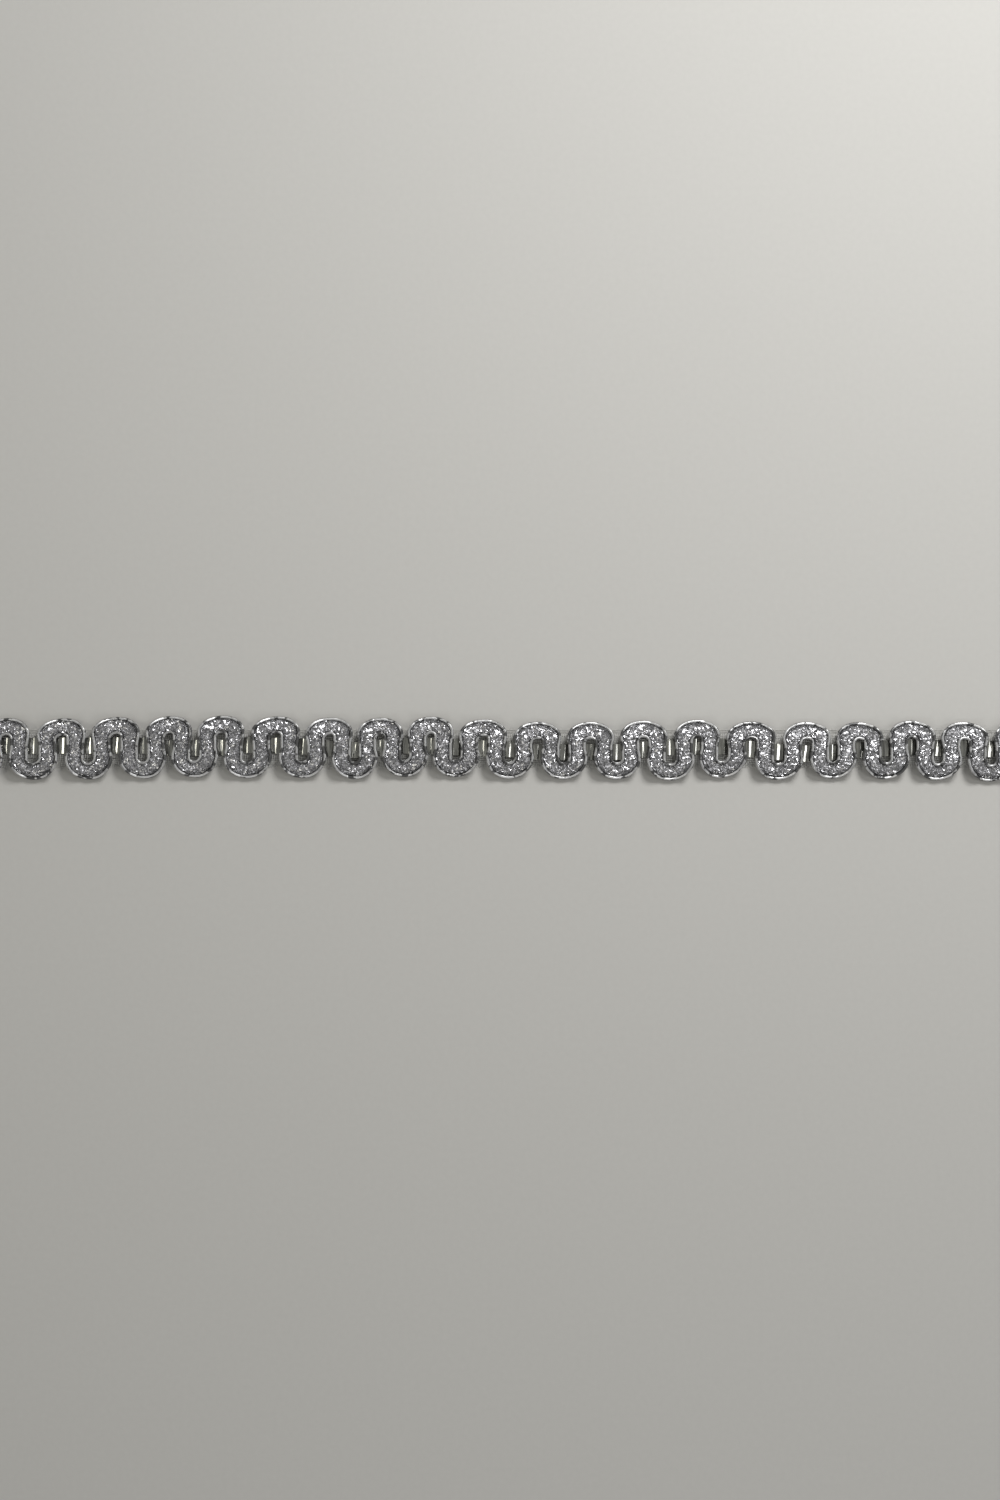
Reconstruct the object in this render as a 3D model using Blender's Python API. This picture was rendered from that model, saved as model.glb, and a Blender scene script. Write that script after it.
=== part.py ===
"""A cut length of silver scroll trim, lying flat and face up.

A crowned braid runs in scrolls: straight legs joined by round loops, up and down in turn.
A thin cord follows each edge of the braid, and a flat foil strip runs lengthwise under all the legs.
The part is in metres with +Z up. It rests on z = 0, and X runs along the trim.
"""

import math
from collections import namedtuple

import bpy
from mathutils import Vector

MM = 0.001
COLLECTION_NAME = "silver_scroll_trim"
GUIDES_NAME = "silver_scroll_trim_guides"

# Sizes of the braid and of its edge cords, in millimetres, where the trim is this wide over its cords
TRIM_WIDTH_OVER_CORDS = 3.5
CORD_THICKNESS = 0.4
CORD_ABOVE_UNDERSIDE = 0.86
BRAID_THICKNESS = 1.1
BRAID_UNDERSIDE_WIDTH = 2.4
BRAID_EDGE_WIDTH = 2.9
BRAID_EDGE_HEIGHT = 0.2
BRAID_SHOULDER_WIDTH = 1.9
BRAID_SHOULDER_HEIGHT = 0.72
BRAID_CROWN_WIDTH = 0.8

# Sizes of the foil strip, in millimetres
FOIL_WIDTH = 3.2
FOIL_FACE_WIDTH = 2.8
FOIL_THICKNESS = 1.0
FOIL_WAVE = 0.2
FOIL_FLAT_UNDER_LEG = 1.8
FOIL_CREST = 0.9
FOIL_PAST_END = 0.35
GAP = 0.3

# The scroll, in millimetres: legs, and loops that swell past them and narrow at their ends
LEG_WIDTH = 3.4
LEG_MIDDLE_Y = 0.6
OUTER_EDGE_PAST_LEG = 2.05
INNER_EDGE_INSIDE_LEG = 1.72
UPPER_OUTER_RISE = 3.1
LOWER_OUTER_RISE = 4.3
INNER_RISE = 0.9
LOOP_END_WIDTH = 3.3
END_STEP = 5.3
ARC_STEPS = 8
FALL_FROM = 0.3
FALL_TO = 0.92
OUTER_EDGE_LOWEST = -0.24
LEG_HEIGHT = FOIL_THICKNESS + GAP
SHIFT_X = 0.4
SHIFT_Y = -0.29

# One row for each repeat of the scroll, in millimetres from the middle of the photographed length:
# where its lower loop and then its upper loop lie, and how far each reaches
Repeat = namedtuple("Repeat", "lower_x lower_y upper_x upper_y")
REPEATS = (
    Repeat(-104.0, -5.90, -98.6, 6.34),
    Repeat(-93.4, -5.90, -87.3, 6.30),
    Repeat(-82.3, -5.86, -76.6, 6.56),
    Repeat(-71.4, -5.66, -65.9, 6.74),
    Repeat(-61.2, -5.46, -55.5, 6.84),
    Repeat(-50.7, -5.60, -44.5, 6.70),
    Repeat(-39.6, -5.56, -33.9, 6.46),
    Repeat(-29.1, -5.74, -23.8, 6.40),
    Repeat(-19.1, -5.34, -13.7, 6.64),
    Repeat(-9.0, -5.36, -3.2, 6.10),
    Repeat(1.8, -5.70, 7.6, 5.60),
    Repeat(12.7, -5.80, 18.1, 5.60),
    Repeat(23.4, -5.80, 28.7, 5.84),
    Repeat(34.0, -6.06, 39.5, 6.00),
    Repeat(44.2, -5.54, 50.3, 5.64),
    Repeat(55.6, -5.94, 61.4, 5.54),
    Repeat(66.5, -5.70, 71.8, 5.50),
    Repeat(77.1, -5.80, 82.3, 5.80),
    Repeat(87.5, -6.00, 92.8, 5.54),
    Repeat(98.1, -6.26, 103.2, 5.50),
)

# Where the middle of the foil strip wanders to, in the same millimetres
FoilPoint = namedtuple("FoilPoint", "x y")
FOIL_LINE = (
    FoilPoint(-110.0, 0.8),
    FoilPoint(-72.0, 0.9),
    FoilPoint(-66.0, 0.4),
    FoilPoint(-56.0, 0.4),
    FoilPoint(-50.0, 1.0),
    FoilPoint(-40.0, 0.7),
    FoilPoint(-29.0, 0.0),
    FoilPoint(-19.0, 0.9),
    FoilPoint(2.0, 0.2),
    FoilPoint(8.0, -0.4),
    FoilPoint(24.0, -0.4),
    FoilPoint(34.0, 0.6),
    FoilPoint(45.0, 0.7),
    FoilPoint(56.0, -0.4),
    FoilPoint(61.0, -0.7),
    FoilPoint(82.0, 0.5),
    FoilPoint(98.0, 0.2),
    FoilPoint(110.0, 0.2),
)

Loop = namedtuple("Loop", "x reach side")
Station = namedtuple("Station", "left right")
Finish = namedtuple("Finish", "name colour roughness metallic")
BRAID_FINISH = Finish("silver_film_yarn", (0.46, 0.46, 0.48), 0.38, 0.7)
CORD_FINISH = Finish("bright_foil_cord", (0.86, 0.86, 0.85), 0.18, 1.0)
FOIL_FINISH = Finish("mirror_foil", (0.52, 0.52, 0.49), 0.12, 1.0)


def clear_scene():
    """Remove every object that the file opened with."""
    for item in list(bpy.data.objects):
        bpy.data.objects.remove(item, do_unlink=True)


def new_collection(name):
    """Make a collection and link it to the scene."""
    collection = bpy.data.collections.new(name)
    bpy.context.scene.collection.children.link(collection)
    return collection


def make_material(finish):
    """Build the Principled material of one finish."""
    material = bpy.data.materials.new(finish.name)
    material.use_nodes = True
    shader = material.node_tree.nodes["Principled BSDF"]
    shader.inputs["Base Color"].default_value = (*finish.colour, 1.0)
    shader.inputs["Roughness"].default_value = finish.roughness
    shader.inputs["Metallic"].default_value = finish.metallic
    return material


def smooth_step(share):
    """Ease from 0 to 1 with no kink at either end."""
    share = min(max(share, 0.0), 1.0)
    return share * share * (3.0 - 2.0 * share)


def all_loops():
    """Every loop in the order that the braid runs: a lower one, then an upper one."""
    loops = []
    for row in REPEATS:
        loops.append(Loop(row.lower_x, row.lower_y, -1))
        loops.append(Loop(row.upper_x, row.upper_y, 1))
    return loops


def leg_positions(loops):
    """The x of each leg at mid height: half way between the loops that it joins."""
    middles = [loops[0].x - END_STEP] + [loop.x for loop in loops] + [loops[-1].x + END_STEP]
    return [(left + right) / 2 for left, right in zip(middles, middles[1:])]


def outer_edge_height(turn):
    """How high the underside's outer edge lies round a loop, whose end comes down to rest on the ground."""
    fall = (math.sin(turn) - FALL_FROM) / (FALL_TO - FALL_FROM)
    return LEG_HEIGHT + (OUTER_EDGE_LOWEST - LEG_HEIGHT) * min(max(fall, 0.0), 1.0) ** 2


def arc_point(loop, base_x, half_width, rise, end_y, turn, height):
    """A point this far round one edge of a loop."""
    x = base_x - half_width * math.cos(turn) + (loop.x - base_x) * math.sin(turn)
    y = end_y - loop.side * rise * (1.0 - math.sin(turn))
    return Vector((x + SHIFT_X, y + SHIFT_Y, height))


def loop_stations(loop, left_leg, right_leg):
    """Both edges of the underside round one loop, from its left leg to its right leg."""
    base_x = (left_leg + right_leg) / 2
    leg_half = (right_leg - left_leg) / 2
    outer_rise = UPPER_OUTER_RISE if loop.side > 0 else LOWER_OUTER_RISE
    inner_end = loop.reach - loop.side * LOOP_END_WIDTH
    stations = []
    for step in range(ARC_STEPS + 1):
        turn = math.pi * step / ARC_STEPS
        height = outer_edge_height(turn)
        outer = arc_point(loop, base_x, leg_half + OUTER_EDGE_PAST_LEG, outer_rise, loop.reach, turn, height)
        inner = arc_point(loop, base_x, leg_half - INNER_EDGE_INSIDE_LEG, INNER_RISE, inner_end, turn, LEG_HEIGHT)
        stations.append(Station(outer, inner) if loop.side > 0 else Station(inner, outer))
    return stations


def leg_station(x, travel):
    """Both edges of the underside in the middle of a leg that runs up (travel 1) or down (travel -1)."""
    edges = [
        Vector((x + SHIFT_X + side * travel * LEG_WIDTH / 2, LEG_MIDDLE_Y + SHIFT_Y, LEG_HEIGHT))
        for side in (-1, 1)
    ]
    return Station(*edges)


def braid_stations():
    """Both edges of the braid's underside from one cut end to the other."""
    loops = all_loops()
    legs = leg_positions(loops)
    stations = []
    for loop, left_leg, right_leg in zip(loops, legs, legs[1:]):
        stations.append(leg_station(left_leg, loop.side))
        stations += loop_stations(loop, left_leg, right_leg)
    stations.append(leg_station(legs[-1], -loops[-1].side))
    return stations


def half_width(station):
    """Half of the trim's width over its cords at a station."""
    return (station.left - station.right).length / 2


def raised_line(stations, shares, height):
    """A line this far above the underside; each share runs from -1 at the right edge to 1 at the left."""
    line = [
        (station.left + station.right) / 2 + (station.left - station.right) / 2 * share
        for station, share in zip(stations, shares)
    ]
    raised = []
    for index, point in enumerate(line):
        before = line[max(index - 1, 0)]
        after = line[min(index + 1, len(line) - 1)]
        along = ((point - before).normalized() + (after - point).normalized()).normalized()
        upward = (Vector((0.0, 0.0, 1.0)) - along * along.z).normalized()
        raised.append(point + upward * height)
    return raised


def edge_line(stations, side):
    """The middle of the cord that follows the left edge (side 1) or the right edge (side -1)."""
    shares = [side * (1.0 - CORD_THICKNESS / 2 / half_width(station)) for station in stations]
    return raised_line(stations, shares, CORD_ABOVE_UNDERSIDE)


def foil_middle_y(x):
    """Where the middle of the foil strip lies at this x."""
    for start, end in zip(FOIL_LINE, FOIL_LINE[1:]):
        if x <= end.x:
            return start.y + (end.y - start.y) * smooth_step((x - start.x) / (end.x - start.x))
    return FOIL_LINE[-1].y


def foil_line():
    """The middle of the foil's underside: flat under each leg, with a low crest in each gap."""
    legs = leg_positions(all_loops())
    past = LEG_WIDTH / 2 + FOIL_PAST_END
    stations = [(legs[0] - past, 0.0)]
    for leg, next_leg in zip(legs, legs[1:]):
        gap_middle = (leg + next_leg) / 2
        stations.append((leg + FOIL_FLAT_UNDER_LEG / 2, 0.0))
        stations.append((gap_middle - FOIL_CREST / 2, FOIL_WAVE))
        stations.append((gap_middle + FOIL_CREST / 2, FOIL_WAVE))
        stations.append((next_leg - FOIL_FLAT_UNDER_LEG / 2, 0.0))
    stations.append((legs[-1] + past, 0.0))
    return [Vector((x + SHIFT_X, foil_middle_y(x) + SHIFT_Y, z)) for x, z in stations]


def mirrored(half):
    """A closed outline from the points of its right half, which run from the bottom up."""
    return [(-across, height) for across, height in half] + list(reversed(half))


def poly_curve(name, points, closed=False):
    """A curve object's data with straight runs between these points, given in millimetres."""
    curve = bpy.data.curves.new(name, "CURVE")
    curve.dimensions = "2D" if closed else "3D"
    spline = curve.splines.new("POLY")
    spline.points.add(len(points) - 1)
    for target, point in zip(spline.points, points):
        target.co = (*[value * MM for value in point], 1.0)
    spline.use_cyclic_u = closed
    return curve


def make_outline(name, half, guides):
    """A hidden outline curve that a strip is swept with."""
    curve = poly_curve(name, [(across, height, 0.0) for across, height in mirrored(half)], closed=True)
    outline = bpy.data.objects.new(name, curve)
    outline.hide_render = True
    outline.display_type = "WIRE"
    guides.objects.link(outline)
    return outline


def make_swept(name, points, outline, material, parts):
    """A strip whose outline stays upright as it follows a line."""
    curve = poly_curve(name, points)
    curve.twist_mode = "Z_UP"
    curve.bevel_mode = "OBJECT"
    curve.bevel_object = outline
    curve.use_fill_caps = True
    curve.materials.append(material)
    parts.objects.link(bpy.data.objects.new(name, curve))


def make_braid(name, stations, half, material, parts):
    """A closed band with this outline, as wide at each station as its edges are apart."""
    lines = [
        raised_line(stations, [across / (TRIM_WIDTH_OVER_CORDS / 2)] * len(stations), height)
        for across, height in mirrored(half)
    ]
    sides = len(lines)
    points = [line[index] * MM for index in range(len(stations)) for line in lines]
    faces = [tuple(range(sides)), tuple(reversed(range(len(points) - sides, len(points))))]
    for start in range(0, len(points) - sides, sides):
        for side in range(sides):
            here, beside = start + side, start + (side + 1) % sides
            faces.append((here, here + sides, beside + sides, beside))
    mesh = bpy.data.meshes.new(name)
    mesh.from_pydata(points, [], faces)
    mesh.materials.append(material)
    parts.objects.link(bpy.data.objects.new(name, mesh))


def make_cord(name, points, material, parts):
    """A thin round cord that follows a line."""
    curve = poly_curve(name, points)
    curve.twist_mode = "Z_UP"
    curve.bevel_depth = CORD_THICKNESS / 2 * MM
    curve.bevel_resolution = 0
    curve.use_fill_caps = True
    curve.materials.append(material)
    parts.objects.link(bpy.data.objects.new(name, curve))


def braid_half_outline():
    """The right half of the crowned braid, seen along it."""
    return [
        (BRAID_UNDERSIDE_WIDTH / 2, 0.0),
        (BRAID_EDGE_WIDTH / 2, BRAID_EDGE_HEIGHT),
        (BRAID_SHOULDER_WIDTH / 2, BRAID_SHOULDER_HEIGHT),
        (BRAID_CROWN_WIDTH / 2, BRAID_THICKNESS),
    ]


def foil_half_outline():
    """The right half of the foil strip, seen along it."""
    return [
        (FOIL_FACE_WIDTH / 2, 0.0),
        (FOIL_WIDTH / 2, FOIL_THICKNESS / 2),
        (FOIL_FACE_WIDTH / 2, FOIL_THICKNESS),
    ]


def main():
    """Build the trim."""
    clear_scene()
    parts = new_collection(COLLECTION_NAME)
    guides = new_collection(GUIDES_NAME)
    foil_outline = make_outline("foil_outline", foil_half_outline(), guides)
    cord_material = make_material(CORD_FINISH)
    stations = braid_stations()
    make_braid("braid", stations, braid_half_outline(), make_material(BRAID_FINISH), parts)
    make_cord("edge_cord_one", edge_line(stations, 1), cord_material, parts)
    make_cord("edge_cord_two", edge_line(stations, -1), cord_material, parts)
    make_swept("foil_strip", foil_line(), foil_outline, make_material(FOIL_FINISH), parts)


main()
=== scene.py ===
"""Visual model of the silver scroll trim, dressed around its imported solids.

The trim is a crowned braid of crinkled film yarn laid in scrolls, with a foil-wrapped cord along each edge.
A mirror-like film strip runs lengthwise under the legs, over a sheer ground of fine clear threads.
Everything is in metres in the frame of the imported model.
"""

import logging
import math
import random
from dataclasses import dataclass, field
from enum import Enum

import bpy
from bpy.types import ID, Material, Node, NodeOutputs, NodeSocket, NodeTree, Object
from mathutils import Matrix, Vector


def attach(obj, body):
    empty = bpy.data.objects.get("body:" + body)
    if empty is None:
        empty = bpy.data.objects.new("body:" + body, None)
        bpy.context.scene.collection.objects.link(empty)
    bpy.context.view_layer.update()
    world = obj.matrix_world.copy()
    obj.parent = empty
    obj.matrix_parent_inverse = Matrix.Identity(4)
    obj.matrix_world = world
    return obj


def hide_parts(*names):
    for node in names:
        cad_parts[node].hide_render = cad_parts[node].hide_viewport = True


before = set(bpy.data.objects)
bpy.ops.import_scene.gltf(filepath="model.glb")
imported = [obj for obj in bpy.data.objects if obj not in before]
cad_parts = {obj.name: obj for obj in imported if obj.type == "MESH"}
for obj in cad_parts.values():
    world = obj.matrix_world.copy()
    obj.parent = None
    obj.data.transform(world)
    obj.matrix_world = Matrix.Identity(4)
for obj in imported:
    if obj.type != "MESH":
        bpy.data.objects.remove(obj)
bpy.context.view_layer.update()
LOG = logging.getLogger("scroll_trim")

MM = 0.001
BODY = "root"
UP = Vector((0.0, 0.0, 1.0))

# The middle of the photographed length, in the trim's own frame
PHOTO_MIDDLE = Vector((0.4, -0.29, 0.0)) * MM

# A noise texture's values lie evenly about this one
NOISE_MIDDLE = 0.5

# Crinkled film: where its tone turns from dull to clean, how fine its creases and its slow random patches are
# beside its grain, and how a patch lowers or lifts the mask between painted shade and the film's own colour
TONE_FROM = 0.35
TONE_TO = 0.65
TONE_DETAIL = 3.0
CREASES_PER_GRAIN = 2.0
PATCHES_PER_GRAIN = 0.4
PATCH_MIDDLE = 0.46
PATCH_RISE = 8.0
PATCH_LIFT = 0.08


class EdgeSide(Enum):
    """Which edge of the braid a cord follows, seen along the braid."""

    LEFT = 1
    RIGHT = -1


class YarnSet(Enum):
    """The two sets of yarns that cross in the braid, by the share of a travel that they start at."""

    FIRST = 0.0
    SECOND = 0.5


@dataclass(frozen=True)
class Loop:
    """One round end of the scroll.

    Args:
        x: Where its end lies along the trim, in millimetres.
        reach: How far its outer edge reaches across the trim, in millimetres.
        side: 1 for an upper loop and -1 for a lower one.
    """

    x: float
    reach: float
    side: int


# One row for each repeat, in millimetres from the middle of the photographed length:
# lower loop's x and reach, then upper loop's x and reach
REPEATS = (
    (-104.0, -5.90, -98.6, 6.34),
    (-93.4, -5.90, -87.3, 6.30),
    (-82.3, -5.86, -76.6, 6.56),
    (-71.4, -5.66, -65.9, 6.74),
    (-61.2, -5.46, -55.5, 6.84),
    (-50.7, -5.60, -44.5, 6.70),
    (-39.6, -5.56, -33.9, 6.46),
    (-29.1, -5.74, -23.8, 6.40),
    (-19.1, -5.34, -13.7, 6.64),
    (-9.0, -5.36, -3.2, 6.10),
    (1.8, -5.70, 7.6, 5.60),
    (12.7, -5.80, 18.1, 5.60),
    (23.4, -5.80, 28.7, 5.84),
    (34.0, -6.06, 39.5, 6.00),
    (44.2, -5.54, 50.3, 5.64),
    (55.6, -5.94, 61.4, 5.54),
    (66.5, -5.70, 71.8, 5.50),
    (77.1, -5.80, 82.3, 5.80),
    (87.5, -6.00, 92.8, 5.54),
    (98.1, -6.26, 103.2, 5.50),
)

# Where the middle of the foil strip wanders to: x and y in the same millimetres
FOIL_LINE = (
    (-110.0, 0.8), (-72.0, 0.9), (-66.0, 0.4), (-56.0, 0.4), (-50.0, 1.0), (-40.0, 0.7), (-29.0, 0.0),
    (-19.0, 0.9), (2.0, 0.2), (8.0, -0.4), (24.0, -0.4), (34.0, 0.6), (45.0, 0.7), (56.0, -0.4),
    (61.0, -0.7), (82.0, 0.5), (98.0, 0.2), (110.0, 0.2),
)


def smooth_step(share: float) -> float:
    """Ease from 0 to 1 with no kink at either end."""
    share = min(max(share, 0.0), 1.0)
    return share * share * (3.0 - 2.0 * share)


class Tree:
    """A node tree under construction, with short calls that add and join its nodes."""

    def __init__(self, tree: NodeTree) -> None:
        """Take the tree to build in."""
        self.tree = tree

    def add(self, kind: str, inputs: dict | None = None, **settings: object) -> NodeOutputs:
        """Add a node, set it and feed its inputs.

        Args:
            kind: The node's type name.
            inputs: What feed takes.
            **settings: Properties to set on the node first.

        Returns:
            The new node's outputs.
        """
        node = self.tree.nodes.new(kind)
        for name, value in settings.items():
            setattr(node, name, value)
        self.feed(node, inputs or {})
        return node.outputs

    def feed(self, node: Node, inputs: dict) -> None:
        """Feed a node's inputs.

        Args:
            node: The node.
            inputs: A socket to link or a plain value to set, by the input's name or number.
        """
        for key, source in inputs.items():
            if isinstance(source, NodeSocket):
                self.tree.links.new(source, node.inputs[key])
            else:
                node.inputs[key].default_value = source

    def math(self, operation: str, first: object, second: object = 0.0) -> NodeSocket:
        """Add a math node and return its result."""
        return self.add("ShaderNodeMath", {0: first, 1: second}, operation=operation)[0]

    def times(self, first: object, second: object) -> NodeSocket:
        """Return the product of two values."""
        return self.math("MULTIPLY", first, second)

    def vector(self, operation: str, first: object, second: object) -> NodeSocket:
        """Add a vector math node and return its vector; for SCALE the second value is a number."""
        key = "Scale" if operation == "SCALE" else 1
        return self.add("ShaderNodeVectorMath", {0: first, key: second}, operation=operation)["Vector"]

    def spread(self, value: object, start: float = 0.0, end: float = 1.0, low: float = 0.0,
               high: float = 1.0, kind: str = "LINEAR") -> NodeSocket:
        """Spread a value over a new range.

        Args:
            value: The value, held between start and end.
            start: The value that gives low.
            end: The value that gives high.
            low: The result at start.
            high: The result at end.
            kind: How it runs between them, as Blender names it.

        Returns:
            The result.
        """
        given = {"Value": value, "From Min": start, "From Max": end, "To Min": low, "To Max": high}
        return self.add("ShaderNodeMapRange", given, interpolation_type=kind)["Result"]

    def mix(self, share: object, first: object, second: object) -> NodeSocket:
        """Mix two colours and return the result; 6, 7 and output 2 are a Mix node's colour sockets."""
        return self.add("ShaderNodeMix", {0: share, 6: first, 7: second}, data_type="RGBA")[2]

    def noise(self, place: object, scale: object, detail: float = 2.0) -> NodeOutputs:
        """Add a noise texture that is read at a place."""
        return self.add("ShaderNodeTexNoise", {"Vector": place, "Scale": scale, "Detail": detail})


class GeometryTree(Tree):
    """A Geometry Nodes tree with named inputs; what it makes of an object is kept as a plain mesh."""

    def __init__(self, name: str, values: dict[str, float]) -> None:
        """Start a tree with its inputs and its geometry output.

        Args:
            name: The tree's name.
            values: Its named inputs with their values; a whole number makes an input for whole numbers.
        """
        super().__init__(bpy.data.node_groups.new(name, "GeometryNodeTree"))
        self.values = values
        kinds = {key: "Int" if isinstance(value, int) else "Float" for key, value in values.items()}
        face = self.tree.interface
        for asked, kind in {"Geometry": "Geometry", **kinds, "Material": "Material"}.items():
            face.new_socket(asked, in_out="INPUT", socket_type=f"NodeSocket{kind}")
        face.new_socket("Geometry", in_out="OUTPUT", socket_type="NodeSocketGeometry")
        self.given = self.add("NodeGroupInput")

    def position(self) -> NodeSocket:
        """Return each point's position in millimetres."""
        return self.vector("SCALE", self.add("GeometryNodeInputPosition")[0], 1.0 / MM)

    def shake(self, place: object, scale: float, amount: object) -> NodeSocket:
        """Return a random offset.

        Args:
            place: Where each point lies.
            scale: How fine the randomness is.
            amount: How far it reaches.

        Returns:
            The offset, which is even on all sides.
        """
        centred = self.vector("SUBTRACT", self.noise(place, scale)["Color"], (NOISE_MIDDLE,) * 3)
        return self.vector("SCALE", centred, amount)

    def move(self, geometry: object, offset: object) -> NodeSocket:
        """Move each point by an offset and return the geometry."""
        return self.add("GeometryNodeSetPosition", {"Geometry": geometry, "Offset": offset})["Geometry"]

    def even(self, curve: object, step: object) -> NodeSocket:
        """Give a curve points at even steps and return it."""
        return self.add("GeometryNodeResampleCurve", {"Curve": curve, "Length": step}, mode="LENGTH")["Curve"]

    def upright(self, curve: object) -> NodeSocket:
        """Turn a curve's normals level, so that what is swept along it stands upright, and return it."""
        return self.add("GeometryNodeSetCurveNormal", {"Curve": curve}, mode="Z_UP")["Curve"]

    def sweep(self, curve: object, outline: object, scale: object = 1.0) -> NodeSocket:
        """Sweep an outline along a curve, with closed ends, and return the mesh."""
        swept = {"Curve": curve, "Profile Curve": outline, "Scale": scale, "Fill Caps": True}
        return self.add("GeometryNodeCurveToMesh", swept)["Mesh"]

    def ring(self, sides: object, radius: object) -> NodeSocket:
        """Add a ring with this many sides and return its curve."""
        sizes = {"Resolution": sides, "Radius": radius}
        return self.add("GeometryNodeCurvePrimitiveCircle", sizes, mode="RADIUS")["Curve"]

    def keep(self, geometry: object, name: str, value: object) -> NodeSocket:
        """Store a number on each point under a name and return the geometry."""
        kept = {"Geometry": geometry, "Name": name, "Value": value}
        return self.add("GeometryNodeStoreNamedAttribute", kept,
                        data_type="FLOAT", domain="POINT")["Geometry"]

    def read(self, name: str, kind: str = "FLOAT") -> NodeSocket:
        """Return what each point holds under this name: a number, or a vector for FLOAT_VECTOR."""
        return self.add("GeometryNodeInputNamedAttribute", {"Name": name}, data_type=kind)["Attribute"]

    def finish(self, geometry: object, smooth: bool = True) -> None:
        """Shade the mesh and end the tree in Realize Instances and Set Material.

        Args:
            geometry: The tree's mesh.
            smooth: Whether it is shaded smooth or flat.
        """
        shaded = self.add("GeometryNodeSetShadeSmooth", {"Geometry": geometry, "Shade Smooth": smooth})
        real = self.add("GeometryNodeRealizeInstances", {"Geometry": shaded["Geometry"]})
        dressed = self.add("GeometryNodeSetMaterial", {
            "Geometry": real["Geometry"], "Material": self.given["Material"],
        })
        self.add("NodeGroupOutput", {"Geometry": dressed["Geometry"]})

    def run(self, name: str, source: Object, material: Material, **changes: float) -> Object:
        """Run the tree on an object and keep the result as a plain mesh.

        Args:
            name: The new piece's name.
            source: The object that carries the path or surface; it is removed.
            material: The new piece's finish.
            **changes: Named inputs that take another value than the tree's own.

        Returns:
            The new piece, at the origin, with no modifier.
        """
        modifier = source.modifiers.new(self.tree.name, "NODES")
        modifier.node_group = self.tree
        values = {**self.values, **changes, "Material": material}
        for socket in self.tree.interface.items_tree:
            if socket.name in values:
                modifier[socket.identifier] = values[socket.name]
        return plain_mesh(name, source)


def place_object(name: str, data: ID) -> Object:
    """Put a new object in the scene.

    Args:
        name: Its name.
        data: Its mesh, curve, light or camera.

    Returns:
        The object.
    """
    made = bpy.data.objects.new(name, data)
    bpy.context.scene.collection.objects.link(made)
    return made


def plain_mesh(name: str, source: Object) -> Object:
    """Turn an object, as Blender evaluates it, into a plain mesh object of this name.

    Args:
        name: The new piece's name.
        source: The object to read; it is removed.

    Returns:
        The new piece.
    """
    graph = bpy.context.evaluated_depsgraph_get()
    mesh = bpy.data.meshes.new_from_object(source.evaluated_get(graph))
    bpy.data.objects.remove(source, do_unlink=True)
    mesh.name = name
    return place_object(name, mesh)


def new_piece(name: str, points: list[Vector], faces: list[tuple[int, ...]],
              material: Material | None = None, edges: tuple | list = ()) -> Object:
    """Make a mesh object from points in metres.

    Args:
        name: Its name.
        points: Its points.
        faces: Its faces, as indices of points.
        material: Its finish, if it has one.
        edges: Its loose edges.

    Returns:
        The object.
    """
    mesh = bpy.data.meshes.new(name)
    mesh.from_pydata(points, list(edges), faces)
    if material:
        mesh.materials.append(material)
    return place_object(name, mesh)


def poly_line(name: str, points: list[Vector]) -> Object:
    """Make a curve object with straight runs between points.

    Args:
        name: Its name.
        points: Its points, in millimetres.

    Returns:
        The object.
    """
    curve = bpy.data.curves.new(name, "CURVE")
    curve.dimensions = "3D"
    spline = curve.splines.new("POLY")
    spline.points.add(len(points) - 1)
    for target, point in zip(spline.points, points):
        target.co = (*(Vector(point) * MM), 1.0)
    return place_object(name, curve)


def new_material(name: str) -> tuple[Material, Tree, Node]:
    """Start a material.

    Args:
        name: Its name.

    Returns:
        The material, its tree and its Principled shader.
    """
    material = bpy.data.materials.new(name)
    material.use_nodes = True
    return material, Tree(material.node_tree), material.node_tree.nodes["Principled BSDF"]


def crinkle_group() -> NodeTree:
    """Build the shader group for thin crinkled film, which every film finish uses.

    Returns:
        A group that takes Grain (features per millimetre) and Stretch (how much longer a feature is across
        the trim than along it), and puts out Tone, Height and a slower Patch from 0 to 1.
    """
    group = bpy.data.node_groups.new("crinkled_film", "ShaderNodeTree")
    for side, names in (("INPUT", ("Grain", "Stretch")), ("OUTPUT", ("Tone", "Height", "Patch"))):
        for name in names:
            group.interface.new_socket(name, in_out=side, socket_type="NodeSocketFloat")
    tree = Tree(group)
    given = tree.add("NodeGroupInput")
    place = tree.vector("SCALE", tree.add("ShaderNodeTexCoord")["Object"], 1.0 / MM)
    parts = tree.add("ShaderNodeSeparateXYZ", {0: place})
    across = tree.math("DIVIDE", parts["Y"], given["Stretch"])
    squeezed = tree.add("ShaderNodeCombineXYZ", {0: parts["X"], 1: across, 2: parts["Z"]})[0]
    crease_scale = tree.times(given["Grain"], CREASES_PER_GRAIN)
    creases = tree.add("ShaderNodeTexVoronoi", {"Vector": squeezed, "Scale": crease_scale}, feature="F1")
    patches = tree.noise(squeezed, tree.times(given["Grain"], PATCHES_PER_GRAIN))
    tree.add("NodeGroupOutput", {
        "Tone": tree.noise(squeezed, given["Grain"], TONE_DETAIL)["Fac"],
        "Height": creases["Distance"],
        "Patch": patches["Fac"],
    })
    return group


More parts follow.
